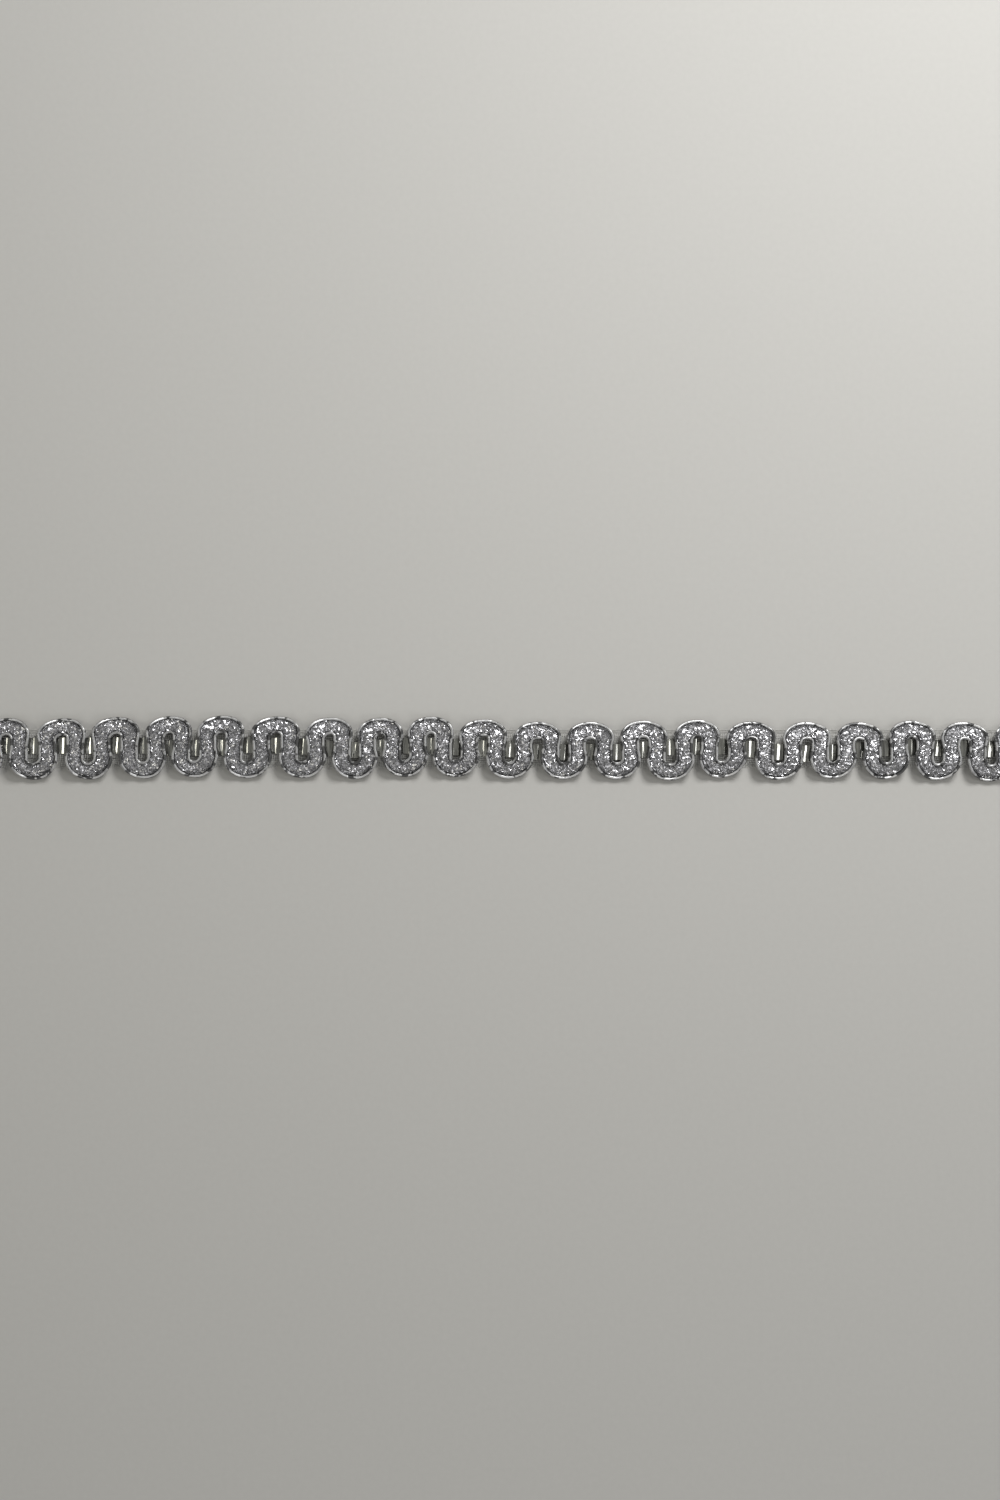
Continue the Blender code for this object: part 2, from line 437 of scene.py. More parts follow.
@dataclass(frozen=True)
class FilmFinish:
    """A finish of metallised film.

    Args:
        name: The material's name.
        dark: Linear colour in the film's duller places.
        bright: Linear colour in its cleaner places.
        smooth: Roughness in its cleaner places.
        dull: Roughness in its duller places.
        grain: Crinkles per millimetre.
        bump: How strongly the crinkles tilt the light.
        depth: How deep the crinkles are, in metres.
        stretch: How much longer a crinkle is across the trim.
        mask: The piece's own number that says where painted shade gives way to the film's own colour, if it
            does.
        mask_from: The mask's value where the film's own colour starts to show through the painted shade.
        mask_to: The mask's value where it shows in full.
        patches: How far slow random patches lower and lift the mask.
        painted_shade: Linear colour of the painted shade, where the mask is low.
        metallic: How metallic the film is; less than 1 leaves a white sheen from every side.
    """

    name: str
    dark: tuple[float, float, float]
    bright: tuple[float, float, float]
    smooth: float
    dull: float
    grain: float
    bump: float
    depth: float
    stretch: float = 1.0
    mask: str = ""
    mask_from: float = 0.0
    mask_to: float = 1.0
    patches: float = 0.0
    painted_shade: tuple[float, float, float] = (0.05, 0.05, 0.05)
    metallic: float = 1.0

    def build(self, crinkle: NodeTree) -> Material:
        """Build the material.

        Args:
            crinkle: The shared group for crinkled film.

        Returns:
            The material.
        """
        material, tree, shader = new_material(self.name)
        film = tree.add("ShaderNodeGroup", {"Grain": self.grain, "Stretch": self.stretch}, node_tree=crinkle)
        share = tree.spread(film["Tone"], TONE_FROM, TONE_TO)
        colour = tree.mix(share, (*self.dark, 1.0), (*self.bright, 1.0))
        # Where the mask is low the colour is painted shade; where it is high the film keeps its own colour
        if self.mask:
            number = tree.add("ShaderNodeAttribute", attribute_name=self.mask)["Fac"]
            patch_shift = tree.math("SUBTRACT", film["Patch"], PATCH_MIDDLE)
            lift = tree.math("MINIMUM", tree.times(patch_shift, self.patches * PATCH_RISE), PATCH_LIFT)
            lifted = tree.math("ADD", number, lift)
            lit_share = tree.spread(lifted, self.mask_from, self.mask_to, kind="SMOOTHSTEP")
            colour = tree.mix(lit_share, (*self.painted_shade, 1.0), colour)
        crinkles = {"Strength": self.bump, "Distance": self.depth, "Height": film["Height"]}
        tree.feed(shader, {
            "Base Color": colour,
            "Metallic": self.metallic,
            "Roughness": tree.spread(share, low=self.dull, high=self.smooth),
            "Normal": tree.add("ShaderNodeBump", crinkles)["Normal"],
        })
        return material


@dataclass(frozen=True)
class ClearThreadFinish:
    """The finish of the fine clear threads of the ground; its grain is in features per millimetre."""

    name: str = "clear_thread"
    pale: tuple[float, float, float] = (0.9, 0.9, 0.87)
    deep: tuple[float, float, float] = (0.72, 0.72, 0.69)
    roughness: float = 0.3
    cloudy_roughness: float = 0.6
    grain: float = 1.5

    def build(self, crinkle: NodeTree) -> Material:
        """Build the material.

        Args:
            crinkle: The shared group for crinkled film, which clouds the threads.

        Returns:
            The material.
        """
        material, tree, shader = new_material(self.name)
        film = tree.add("ShaderNodeGroup", {"Grain": self.grain, "Stretch": 1.0}, node_tree=crinkle)
        tree.feed(shader, {
            "Base Color": tree.mix(film["Tone"], (*self.deep, 1.0), (*self.pale, 1.0)),
            "Roughness": tree.spread(film["Height"], low=self.roughness, high=self.cloudy_roughness),
        })
        return material


@dataclass(frozen=True)
class BoardFinish:
    """The finish of the plain pale board that the trim lies on; its tooth is in features per metre."""

    name: str = "pale_board"
    light: tuple[float, float, float] = (0.59, 0.58, 0.55)
    shade: tuple[float, float, float] = (0.56, 0.55, 0.522)
    roughness: float = 0.85
    tooth: float = 900.0

    def build(self) -> Material:
        """Build the material.

        Returns:
            A pale tone with a faint tooth.
        """
        material, tree, shader = new_material(self.name)
        tooth = tree.noise(tree.add("ShaderNodeTexCoord")["Object"], self.tooth)["Fac"]
        colour = tree.mix(tooth, (*self.shade, 1.0), (*self.light, 1.0))
        tree.feed(shader, {"Base Color": colour, "Roughness": self.roughness})
        return material


# The yarns take painted shade towards the braid's edges, where the crown mask is low, and their own tone on
# the crown
YARN_FINISH = FilmFinish(
    name="silver_film_yarn",
    dark=(0.31, 0.31, 0.318),
    bright=(0.71, 0.705, 0.725),
    smooth=0.3,
    dull=0.16,
    grain=2.2,
    bump=0.3,
    depth=0.05 * MM,
    mask="crown",
    mask_from=-0.3,
    mask_to=0.9,
    patches=0.6,
    painted_shade=(0.36, 0.36, 0.368),
    metallic=0.85,
)
CORE_FINISH = FilmFinish(
    name="silver_core_film",
    dark=(0.26, 0.26, 0.266),
    bright=(0.46, 0.46, 0.47),
    smooth=0.35,
    dull=0.55,
    grain=2.0,
    bump=0.5,
    depth=0.08 * MM,
)
# The cord's near-white colour on top is a painted highlight, and the dark colour on its flanks is painted
# shade
CORD_FINISH = FilmFinish(
    name="bright_foil_cord",
    dark=(0.84, 0.84, 0.84),
    bright=(0.9, 0.9, 0.895),
    smooth=0.36,
    dull=0.48,
    grain=1.6,
    bump=0.1,
    depth=0.04 * MM,
    mask="top",
    mask_from=0.52,
    mask_to=0.8,
    patches=0.8,
    painted_shade=(0.13, 0.13, 0.13),
    metallic=0.8,
)
FOIL_FINISH = FilmFinish(
    name="mirror_foil",
    dark=(0.4, 0.4, 0.378),
    bright=(0.95, 0.95, 0.88),
    smooth=0.04,
    dull=0.1,
    grain=3.0,
    stretch=12.0,
    bump=0.12,
    depth=0.04 * MM,
    metallic=0.93,
)


@dataclass(frozen=True)
class Station:
    """Both edges of the braid's underside at one place along it, in millimetres.

    Args:
        left: The edge to the left, seen along the braid.
        right: The edge to the right.
    """

    left: Vector
    right: Vector

    @property
    def middle(self) -> Vector:
        """The point half way between the edges."""
        return (self.left + self.right) / 2

    @property
    def half_across(self) -> Vector:
        """From the middle to the left edge."""
        return (self.left - self.right) / 2


@dataclass
class ScrollLine:
    """The run of the braid's two edges, worked out as the solids are; sizes in millimetres."""

    leg_width: float = 3.4
    leg_middle_y: float = 0.6
    outer_past_leg: float = 2.05
    inner_inside_leg: float = 1.72
    upper_rise: float = 3.1
    lower_rise: float = 4.3
    inner_rise: float = 0.9
    end_width: float = 3.3
    end_step: float = 5.3
    arc_steps: int = 24
    leg_steps: int = 5
    fall_from: float = 0.3
    fall_to: float = 0.92
    outer_lowest: float = -0.24
    leg_height: float = 1.3
    shift: Vector = field(default_factory=lambda: PHOTO_MIDDLE / MM)

    def loops(self) -> list[Loop]:
        """Every loop in the order that the braid runs."""
        return [loop for lower_x, lower_reach, upper_x, upper_reach in REPEATS
                for loop in (Loop(lower_x, lower_reach, -1), Loop(upper_x, upper_reach, 1))]

    def legs(self) -> list[float]:
        """Where the legs lie at mid height.

        Returns:
            The x of each, in the photographed length's millimetres.
        """
        places = [loop.x for loop in self.loops()]
        middles = [places[0] - self.end_step, *places, places[-1] + self.end_step]
        return [(left + right) / 2 for left, right in zip(middles, middles[1:])]

    def outer_height(self, turn: float) -> float:
        """Height of the underside's outer edge this far round a loop."""
        fall = (math.sin(turn) - self.fall_from) / (self.fall_to - self.fall_from)
        return self.leg_height + (self.outer_lowest - self.leg_height) * min(max(fall, 0.0), 1.0) ** 2

    def round_loop(self, loop: Loop, left_leg: float, right_leg: float) -> list[Station]:
        """Stations round one loop.

        Args:
            loop: The loop.
            left_leg: The x of its left leg.
            right_leg: The x of its right leg.

        Returns:
            The stations, from the left leg to the right one.
        """
        base_x = (left_leg + right_leg) / 2
        leg_half = (right_leg - left_leg) / 2
        outer_rise = self.upper_rise if loop.side > 0 else self.lower_rise
        stations = []
        for step in range(self.arc_steps + 1):
            turn = math.pi * step / self.arc_steps

            def edge(half_width: float, rise: float, end_y: float, height: float) -> Vector:
                """One edge at this turn.

                Args:
                    half_width: Half of the edge's width between the legs.
                    rise: How far it rises from the legs to the loop's end.
                    end_y: Where it ends across the trim.
                    height: How high it lies.

                Returns:
                    The point, in millimetres.
                """
                x = base_x - half_width * math.cos(turn) + (loop.x - base_x) * math.sin(turn)
                return Vector((x, end_y - loop.side * rise * (1.0 - math.sin(turn)), height)) + self.shift

            outer = edge(leg_half + self.outer_past_leg, outer_rise, loop.reach, self.outer_height(turn))
            inner = edge(leg_half - self.inner_inside_leg, self.inner_rise,
                         loop.reach - loop.side * self.end_width, self.leg_height)
            stations.append(Station(outer, inner) if loop.side > 0 else Station(inner, outer))
        return stations

    def leg_station(self, x: float, travel: int) -> Station:
        """The station in the middle of a leg.

        Args:
            x: Where the leg lies.
            travel: 1 where the braid runs up it and -1 where it runs down.

        Returns:
            The station.
        """
        middle = Vector((x, self.leg_middle_y, self.leg_height)) + self.shift
        half = Vector((travel * self.leg_width / 2, 0.0, 0.0))
        return Station(middle - half, middle + half)

    def between(self, start: Station, end: Station) -> list[Station]:
        """Stations that ease from one station to the next.

        Args:
            start: The station before them.
            end: The station after them.

        Returns:
            The stations, without either of those two.
        """
        def ease(first: Vector, last: Vector, share: float) -> Vector:
            """The point this share of the way along, eased in x alone."""
            x = first.x + (last.x - first.x) * smooth_step(share)
            return Vector((x, *first.lerp(last, share).yz))

        shares = [step / self.leg_steps for step in range(1, self.leg_steps)]
        return [Station(ease(start.left, end.left, n), ease(start.right, end.right, n)) for n in shares]

    def stations(self) -> list[Station]:
        """Work out every station.

        Returns:
            The stations from one cut end to the other.
        """
        loops, legs = self.loops(), self.legs()
        found = [self.leg_station(legs[0], loops[0].side)]
        for loop, left_leg, right_leg in zip(loops, legs, legs[1:]):
            arc = self.round_loop(loop, left_leg, right_leg)
            after = self.leg_station(right_leg, -loop.side)
            found += [*self.between(found[-1], arc[0]), *arc, *self.between(arc[-1], after), after]
        return found

    def raised(self, shares: list[float], height: float) -> list[Vector]:
        """A line above the underside.

        Args:
            shares: For each station, where the line lies from the right edge (-1) to the left edge (1).
            height: How far above the underside it runs, in millimetres.

        Returns:
            The line's points, in millimetres.
        """
        placed = zip(self.stations(), shares)
        line = [station.middle + station.half_across * share for station, share in placed]
        lifted = []
        for index, point in enumerate(line):
            along = (line[min(index + 1, len(line) - 1)] - line[max(index - 1, 0)]).normalized()
            lifted.append(point + (UP - along * along.z).normalized() * height)
        return lifted


@dataclass
class ScrollBraid:
    """The crowned braid: a core and two sets of film yarns that cross over it; sizes in millimetres."""

    line: ScrollLine
    yarn_reach: float = 0.7
    crown: float = 1.04
    core_reach: float = 0.74
    core_crown: float = 0.86
    yarns_in_set: int = 9
    yarn_width: float = 0.42
    yarn_thickness: float = 0.05
    yarn_step: float = 0.26
    travel: float = 13.0
    ripple: float = 0.07
    ripple_length: float = 1.9
    crinkle: float = 0.1
    crinkle_grain: float = 2.6
    tilt: float = 0.85
    tilt_per_noise: float = 4.0
    tilt_grain: float = 3.0
    edge_lean: float = 0.6
    yarn_phase: float = 2.4
    arch_least: float = 0.05
    arch_power: float = 0.42
    core_steps: int = 10
    core_side_height: float = 0.06
    core_power: float = 0.8
    core_base_share: float = 0.85
    core_base_height: float = 0.02

    def core_outline(self) -> list[tuple[float, float]]:
        """The core's outline, flat below and crowned above.

        Returns:
            Its points, each a share of the half width and a height.
        """
        crown = []
        for step in range(self.core_steps + 1):
            turn = math.pi * step / self.core_steps
            height = self.core_side_height + self.core_crown * math.sin(turn) ** self.core_power
            crown.append((-self.core_reach * math.cos(turn), height))
        base = self.core_reach * self.core_base_share
        return [*crown, (base, self.core_base_height), (-base, self.core_base_height)]

    def build_core(self, material: Material) -> Object:
        """Build the core under the yarns.

        Args:
            material: Its finish.

        Returns:
            One closed band.
        """
        count = len(self.line.stations())
        lines = [self.line.raised([share] * count, height) for share, height in self.core_outline()]
        sides = len(lines)
        points = [line[index] * MM for index in range(count) for line in lines]
        faces = [tuple(range(sides)), tuple(reversed(range(len(points) - sides, len(points))))]
        for start in range(0, len(points) - sides, sides):
            for side in range(sides):
                here, beside = start + side, start + (side + 1) % sides
                faces.append((here, here + sides, beside + sides, beside))
        return new_piece("braid_core", points, faces, material)

    def station_line(self, name: str) -> Object:
        """A line through the stations' middles that carries each one's half_across.

        Args:
            name: Its name.

        Returns:
            The object.
        """
        stations = self.line.stations()
        points = [station.middle * MM for station in stations]
        piece = new_piece(name, points, [], edges=[(n, n + 1) for n in range(len(points) - 1)])
        across = piece.data.attributes.new("half_across", "FLOAT_VECTOR", "POINT")
        flat = [value * MM for station in stations for value in station.half_across]
        across.data.foreach_set("vector", flat)
        return piece

    def yarn_tree(self) -> GeometryTree:
        """Build the tree that lays crossing film yarns over a crowned band.

        Returns:
            The tree, whose inputs are the sizes of the yarns and of the band.
        """
        tree = GeometryTree("crossing_film_yarns", {
            "Yarns": self.yarns_in_set,
            "Start": 0.0,
            "Travel": self.travel * MM,
            "Reach": self.yarn_reach,
            "Crown": self.crown * MM,
            "Yarn Width": self.yarn_width * MM,
            "Yarn Thickness": self.yarn_thickness * MM,
            "Step": self.yarn_step * MM,
            "Ripple": self.ripple * MM,
            "Ripple Length": self.ripple_length * MM,
            "Crinkle": self.crinkle * MM,
            "Tilt": self.tilt,
        })
        given = tree.given
        path = tree.add("GeometryNodeMeshToCurve", {"Mesh": given["Geometry"]})["Curve"]
        asked = {"Geometry": tree.even(path, given["Step"]), "Amount": given["Yarns"]}
        copies = tree.add("GeometryNodeDuplicateElements", asked, domain="SPLINE")
        yarn = copies["Duplicate Index"]

        # Each yarn swings from edge to edge in a zigzag z, with its turns rounded off as 1.5 z - 0.5 z cubed
        place = tree.add("GeometryNodeSplineParameter")["Length"]
        share = tree.math("DIVIDE", yarn, given["Yarns"])
        gone = tree.math("DIVIDE", place, given["Travel"])
        phase = tree.math("ADD", tree.math("ADD", gone, share), given["Start"])
        swing = tree.math("PINGPONG", tree.times(phase, 2.0), 1.0)
        zigzag = tree.math("SUBTRACT", tree.times(swing, 2.0), 1.0)
        cube = tree.times(tree.math("POWER", tree.math("ABSOLUTE", zigzag), 3.0), 0.5)
        signed = tree.times(cube, tree.math("SIGN", zigzag))
        across_now = tree.math("SUBTRACT", tree.times(zigzag, 1.5), signed)
        along = tree.times(tree.math("DIVIDE", place, given["Ripple Length"]), math.tau)
        wave_now = tree.math("SINE", tree.math("ADD", along, tree.times(yarn, self.yarn_phase)))
        kept = tree.keep(tree.keep(copies["Geometry"], "across", across_now), "wave", wave_now)
        across = tree.read("across")
        off_middle = tree.math("ABSOLUTE", across)
        # crown is 1 at the braid's middle and 0 at its edges; the yarn finish paints shade where it is low
        kept = tree.keep(kept, "crown", tree.math("SUBTRACT", 1.0, off_middle))

        hollow = tree.math("SUBTRACT", 1.0, tree.times(across, across))
        arch = tree.math("POWER", tree.math("MAXIMUM", hollow, self.arch_least), self.arch_power)
        ripple = tree.times(tree.read("wave"), given["Ripple"])
        lift = tree.math("ADD", tree.times(arch, given["Crown"]), ripple)
        tangent = tree.add("GeometryNodeInputTangent")["Tangent"]
        level = tree.vector("CROSS_PRODUCT", (0.0, 0.0, 1.0), tangent)
        sideways = tree.add("ShaderNodeVectorMath", {0: level}, operation="NORMALIZE")["Vector"]
        upward = tree.vector("CROSS_PRODUCT", tangent, sideways)
        aside = tree.vector("SCALE", tree.read("half_across", "FLOAT_VECTOR"),
                            tree.times(across, given["Reach"]))
        laid = tree.move(kept, tree.vector("ADD", aside, tree.vector("SCALE", upward, lift)))

        # The film lies over with the crown and twists at random
        position = tree.position()
        turn = tree.math("SUBTRACT", tree.noise(position, self.tilt_grain)["Fac"], NOISE_MIDDLE)
        twist = tree.times(turn, tree.times(given["Tilt"], self.tilt_per_noise))
        slope = tree.times(across, tree.times(off_middle, self.edge_lean))
        tilted = tree.add("GeometryNodeSetCurveTilt", {
            "Curve": tree.upright(laid), "Tilt": tree.math("ADD", slope, twist),
        })
        section = tree.add("GeometryNodeCurvePrimitiveQuadrilateral", {
            "Width": given["Yarn Width"], "Height": given["Yarn Thickness"],
        }, mode="RECTANGLE")
        film = tree.sweep(tilted["Curve"], section["Curve"])
        crinkles = tree.shake(position, self.crinkle_grain, given["Crinkle"])
        tree.finish(tree.move(film, crinkles), smooth=False)
        return tree

    def build_yarns(self, tree: GeometryTree, yarn_set: YarnSet, material: Material) -> Object:
        """Lay one set of yarns over the core.

        Args:
            tree: The tree from yarn_tree.
            yarn_set: Which of the crossing sets.
            material: The yarns' finish.

        Returns:
            The piece.
        """
        name = f"film_yarns_{yarn_set.name.lower()}"
        start = yarn_set.value / self.yarns_in_set
        return tree.run(name, self.station_line(name + "_path"), material, Start=start)


@dataclass
class EdgeCords:
    """The foil-wrapped cords along the braid's edges; sizes in millimetres."""

    line: ScrollLine
    radius: float = 0.29
    inset: float = 0.25
    height: float = 0.8
    step: float = 0.2
    sides: int = 12
    wander: float = 0.1
    wander_grain: float = 0.55
    swell: float = 0.22
    swell_grain: float = 1.7
    inner_from: float = 1.4
    inner_to: float = 1.9
    inner_top: float = 0.59

    def cord_tree(self) -> GeometryTree:
        """Build the tree that turns a path into a slightly uneven wrapped cord.

        Returns:
            The tree, whose inputs are the sizes of the cord.
        """
        tree = GeometryTree("foil_wrapped_cord", {
            "Radius": self.radius * MM,
            "Step": self.step * MM,
            "Sides": self.sides,
            "Wander": self.wander * MM,
            "Swell": self.swell,
        })
        given = tree.given
        position = tree.position()
        path = tree.move(tree.even(given["Geometry"], given["Step"]),
                         tree.shake(position, self.wander_grain, given["Wander"]))
        beads = tree.math("SUBTRACT", tree.noise(position, self.swell_grain)["Fac"], NOISE_MIDDLE)
        fatness = tree.math("ADD", tree.times(beads, given["Swell"]), 1.0)
        sized = tree.add("GeometryNodeSetCurveRadius", {"Curve": path, "Radius": fatness})["Curve"]
        spot = tree.add("ShaderNodeSeparateXYZ", {0: tree.add("GeometryNodeInputPosition")[0]})
        ring_top = tree.times(tree.math("DIVIDE", spot["Y"], given["Radius"]), -1.0)
        outline = tree.keep(tree.ring(given["Sides"], given["Radius"]), "top", ring_top)
        cord = tree.sweep(tree.upright(sized), outline, fatness)

        # The mask paints a highlight on top of the low outer cords with painted shade on their flanks, and
        # gives the high inner ones an even low share, so they are mostly painted shade
        height = tree.add("ShaderNodeSeparateXYZ", {0: position})["Z"]
        inner = tree.spread(height, self.inner_from, self.inner_to)
        outer_top = tree.times(tree.read("top"), tree.math("SUBTRACT", 1.0, inner))
        inner_top = tree.times(inner, self.inner_top)
        tree.finish(tree.keep(cord, "top", tree.math("ADD", outer_top, inner_top)))
        return tree

    def build(self, tree: GeometryTree, side: EdgeSide, name: str, material: Material) -> Object:
        """Build the cord of one edge.

        Args:
            tree: The tree from cord_tree.
            side: Which edge it follows.
            name: The piece's name.
            material: Its finish.

        Returns:
            The piece.
        """
        stations = self.line.stations()
        shares = [side.value * (1.0 - self.inset / station.half_across.length) for station in stations]
        path = poly_line(name + "_path", self.line.raised(shares, self.height))
        return tree.run(name, path, material)


@dataclass
class FoilStrip:
    """The mirror-like film strip under the legs, with a bulge or crease in each gap; sizes in millimetres."""

    line: ScrollLine
    width: float = 3.2
    thickness: float = 0.05
    height: float = 1.08
    past_end: float = 2.05
    step: float = 0.07
    rows: int = 4
    bulge_slope: float = 0.48
    end_slope: float = 0.22
    outward_share: float = 0.75
    bulge_width: float = 0.38
    gentle: float = 2.6
    lean: float = 0.06
    width_draw: tuple[float, float] = (0.75, 1.3)
    place_draw: tuple[float, float] = (-0.4, 0.4)
    height_draw: tuple[float, float] = (0.9, 1.15)
    lean_draw: tuple[float, float] = (-0.06, 0.1)
    bulge_ends: float = 3.0
    sharp_angle: float = 35.0
    seed: int = 7

    def middle_y(self, x: float) -> float:
        """Where the middle of the strip lies.

        Args:
            x: The place along the trim.

        Returns:
            Its place across the trim.
        """
        for (start_x, start_y), (end_x, end_y) in zip(FOIL_LINE, FOIL_LINE[1:]):
            if x <= end_x:
                return start_y + (end_y - start_y) * smooth_step((x - start_x) / (end_x - start_x))
        return FOIL_LINE[-1][1]

    def bulges(self) -> list[tuple[float, float, float, float, float]]:
        """Draw the bulge of each gap.

        Returns:
            Where each one stands, its height, its width to the left and to the right, and its lean.
        """
        draw = random.Random(self.seed)
        legs = self.line.legs()
        found = []
        for left, right in zip(legs, legs[1:]):
            at = (left + right) / 2
            steep = self.bulge_width * draw.uniform(*self.width_draw)
            slope = self.bulge_slope + (self.end_slope - self.bulge_slope) * abs(at) / legs[-1]
            widths = [steep, steep * self.gentle]
            if (draw.random() < self.outward_share) == (at > 0.0):
                widths.reverse()
            found.append((
                at + draw.uniform(*self.place_draw),
                steep * slope * draw.uniform(*self.height_draw),
                *widths,
                self.lean + draw.uniform(*self.lean_draw),
            ))
        return found

    def build(self, material: Material) -> Object:
        """Build the strip.

        Args:
            material: Its finish.

        Returns:
            One closed thin sheet.
        """
        legs = self.line.legs()
        bulges = self.bulges()
        low_x, high_x = legs[0] - self.past_end, legs[-1] + self.past_end
        columns = int((high_x - low_x) / self.step)
        vertices = []
        for column in range(columns + 1):
            x = low_x + (high_x - low_x) * column / columns
            near = [bulge for bulge in bulges if abs(bulge[0] - x) < self.bulge_ends]
            for row in range(self.rows + 1):
                across = self.width * (row / self.rows - 0.5)
                lift = 0.0
                for at, high, wide_left, wide_right, lean in near:
                    away = x - at - lean * across
                    lift += high * math.exp(-((away / (wide_left if away < 0.0 else wide_right)) ** 2))
                point = Vector((x, self.middle_y(x) + across, self.height + lift)) + self.line.shift
                vertices.append(point * MM)
        rows = self.rows + 1
        faces = [
            (start, start + rows, start + rows + 1, start + 1)
            for column in range(columns)
            for start in range(column * rows, column * rows + self.rows)
        ]
        sheet = new_piece("foil_film_sheet", vertices, faces, material)
        solid = sheet.modifiers.new("film_thickness", "SOLIDIFY")
        solid.thickness = self.thickness * MM
        solid.offset = 0.0
        film = plain_mesh("foil_film", sheet)
        film.data.shade_smooth()
        film.data.set_sharp_from_angle(angle=math.radians(self.sharp_angle))
        return film


@dataclass
class SheerGround:
    """The sheer ground of fine clear threads under the foil; sizes in millimetres."""

    line: ScrollLine
    half_width: float = 3.7
    thread: float = 0.04
    thread_sides: int = 3
    pitch: float = 0.36
    past_end: float = 1.6
    top: float = 0.95
    level_to: float = 1.7
    bottom: float = 0.15
    middle_drop: float = 0.3
    wander: float = 0.15
    wander_grain: float = 1.2
    point_every: int = 3

    def ground_tree(self) -> GeometryTree:
        """Build the tree that runs a thread along every edge of a fine sheet.

        Returns:
            The tree, whose inputs are the thread's size and wander.
        """
        sizes = {"Thread": self.thread * MM, "Wander": self.wander * MM}
        tree = GeometryTree("sheer_thread_ground", sizes)
        given = tree.given
        shake = tree.shake(tree.position(), self.wander_grain, given["Wander"])
        moved = tree.move(given["Geometry"], shake)
        lines = tree.add("GeometryNodeMeshToCurve", {"Mesh": moved})["Curve"]
        tree.finish(tree.sweep(lines, tree.ring(self.thread_sides, given["Thread"])))
        return tree

    def height_at(self, across: float) -> float:
        """Height of the ground this far from the trim's middle: it tents down from under the foil."""
        fall = smooth_step((abs(across) - self.level_to) / (self.half_width - self.level_to))
        return self.top + (self.bottom - self.top) * fall

    def build(self, tree: GeometryTree, material: Material) -> Object:
        """Build the threads: long ones beside each other, and short ones across them.

        Args:
            tree: The tree from ground_tree.
            material: The threads' finish.

        Returns:
            The piece.
        """
        legs = self.line.legs()
        low_x, high_x = legs[0] - self.past_end, legs[-1] + self.past_end
        middle_y = self.line.leg_middle_y - self.middle_drop
        columns = int((high_x - low_x) / self.pitch)
        rows = int(2 * self.half_width / self.pitch)
        xs = [low_x + (high_x - low_x) * column / columns for column in range(columns + 1)]
        vertices = []
        edges = []

        def place(column: int, row: int) -> Vector:
            """The point, in metres, where a row crosses a column."""
            across = self.half_width * (2 * row / rows - 1)
            return (Vector((xs[column], middle_y + across, self.height_at(across))) + self.line.shift) * MM

        every = self.point_every
        long_lines = [[(column, row) for column in range(0, columns + 1, every)] for row in range(rows + 1)]
        short_lines = [[(column, row) for row in range(0, rows + 1, every)] for column in range(columns + 1)]
        for crossings in long_lines + short_lines:
            first = len(vertices)
            vertices += [place(column, row) for column, row in crossings]
            edges += [(n, n + 1) for n in range(first, len(vertices) - 1)]
        return tree.run("sheer_ground", new_piece("ground_lines", vertices, [], edges=edges), material)


@dataclass(frozen=True)
class Lamp:
    """A soft rectangular light that faces the trim.

    Args:
        name: Its name.
        place: Where it hangs, in metres.
        size: Its width and height, in metres.
        watts: Its power.
        colour: Its colour.
    """

    name: str
    place: tuple[float, float, float]
    size: tuple[float, float]
    watts: float
    colour: tuple[float, float, float] = (1.0, 1.0, 1.0)

    def build(self) -> None:
        """Hang the light."""
        light = bpy.data.lights.new(self.name, "AREA")
        light.shape = "RECTANGLE"
        light.size, light.size_y = self.size
        light.energy = self.watts
        light.color = self.colour
        lamp = place_object(self.name, light)
        lamp.location = self.place
        lamp.rotation_euler = (-Vector(self.place)).to_track_quat("-Z", "Y").to_euler()


# A big soft key light beyond the top right, a panel at each side and a dim one near the viewer
LAMPS = (
    Lamp("key", (0.17, 0.31, 0.285), (0.155, 0.12), 1.37),
    Lamp("panel_right", (0.41, 0.0, 0.45), (0.24, 0.18), 0.36),
    Lamp("panel_near", (0.04, -0.33, 0.33), (0.22, 0.1), 0.15),
    Lamp("panel_left", (-0.41, 0.0, 0.45), (0.24, 0.12), 0.29, (1.0, 0.98, 0.88)),
)


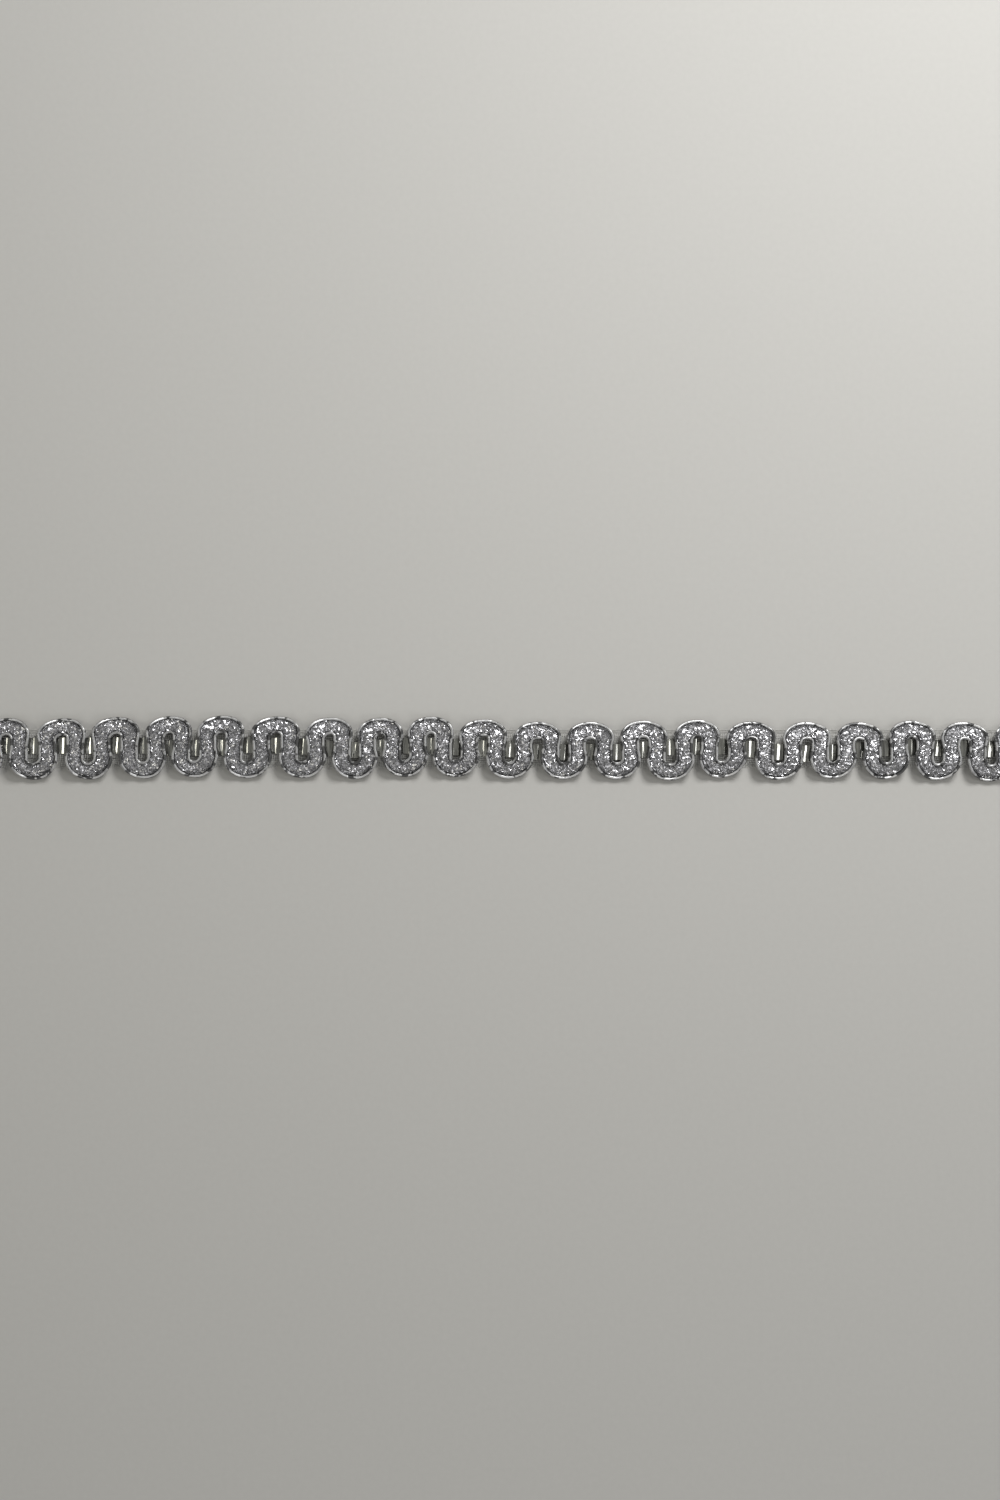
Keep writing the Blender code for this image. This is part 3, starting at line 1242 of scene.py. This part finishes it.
@dataclass
class Studio:
    """The plain board, the dim room and the camera; sizes in metres, the lens in millimetres."""

    board_size: float = 4.0
    camera_height: float = 0.32
    lens: float = 38.22
    nearest_seen: float = 0.01
    low_up_to: float = 0.45
    high_from: float = 0.95
    low_colour: tuple[float, float, float] = (0.31, 0.31, 0.31)
    high_colour: tuple[float, float, float] = (0.14, 0.14, 0.134)

    def build_board(self, material: Material) -> Object:
        """Build the board that the trim lies on.

        Args:
            material: Its finish.

        Returns:
            The piece.
        """
        half = self.board_size / 2
        corners = [Vector((x * half, y * half, 0.0)) for x, y in ((-1, -1), (1, -1), (1, 1), (-1, 1))]
        return new_piece("board", corners, [(0, 1, 2, 3)], material)

    def build_world(self) -> None:
        """Surround the trim with a dim room that is darker straight above."""
        world = bpy.data.worlds.new("dim_room")
        bpy.context.scene.world = world
        world.use_nodes = True
        tree = Tree(world.node_tree)
        parts = tree.add("ShaderNodeSeparateXYZ", {0: tree.add("ShaderNodeTexCoord")["Generated"]})
        ramp = world.node_tree.nodes.new("ShaderNodeValToRGB")
        stops = ((self.low_up_to, self.low_colour), (self.high_from, self.high_colour))
        for stop, (place, colour) in zip(ramp.color_ramp.elements, stops):
            stop.position = place
            stop.color = (*colour, 1.0)
        tree.feed(ramp, {"Fac": parts["Z"]})
        background = world.node_tree.nodes["Background"]
        tree.feed(background, {"Color": ramp.outputs["Color"], "Strength": 1.0})

    def build_camera(self) -> None:
        """Set the camera straight above the middle of the photographed length."""
        data = bpy.data.cameras.new("camera")
        data.lens = self.lens
        data.clip_start = self.nearest_seen
        camera = place_object("camera", data)
        camera.location = PHOTO_MIDDLE + UP * self.camera_height
        bpy.context.scene.camera = camera


def settle(piece: Object, slot: str, *nodes: str) -> Object:
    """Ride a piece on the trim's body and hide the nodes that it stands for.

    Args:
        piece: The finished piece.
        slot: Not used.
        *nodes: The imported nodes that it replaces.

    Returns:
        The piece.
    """
    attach(piece, BODY)
    if nodes:
        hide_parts(*nodes)
    LOG.info("%s: %d faces", piece.name, len(piece.data.polygons))
    return piece


def main() -> None:
    """Build every piece of the trim, then the board, lights and camera."""
    logging.basicConfig(level=logging.INFO, format="%(name)s %(message)s")
    bpy.context.scene.view_settings.view_transform = "Standard"
    crinkle = crinkle_group()
    line = ScrollLine()

    braid = ScrollBraid(line)
    yarn_material = YARN_FINISH.build(crinkle)
    core = settle(braid.build_core(CORE_FINISH.build(crinkle)), "braid", "braid")
    yarn_tree = braid.yarn_tree()
    yarns = [settle(braid.build_yarns(yarn_tree, kind, yarn_material), "braid") for kind in YarnSet]

    cords = EdgeCords(line)
    cord_material = CORD_FINISH.build(crinkle)
    cord_tree = cords.cord_tree()
    cord_one = cords.build(cord_tree, EdgeSide.LEFT, "wrapped_cord_one", cord_material)
    cord_two = cords.build(cord_tree, EdgeSide.RIGHT, "wrapped_cord_two", cord_material)
    wrapped = [settle(cord_one, "edge_cord", "edge_cord_one"), settle(cord_two, "edge_cord", "edge_cord_two")]

    film = settle(FoilStrip(line).build(FOIL_FINISH.build(crinkle)), "foil", "foil_strip")
    ground = SheerGround(line)
    net = settle(ground.build(ground.ground_tree(), ClearThreadFinish().build(crinkle)), "braid")

    studio = Studio()
    studio.build_board(BoardFinish().build())
    for lamp in LAMPS:
        lamp.build()
    studio.build_world()
    studio.build_camera()


if __name__ == "__main__":
    main()
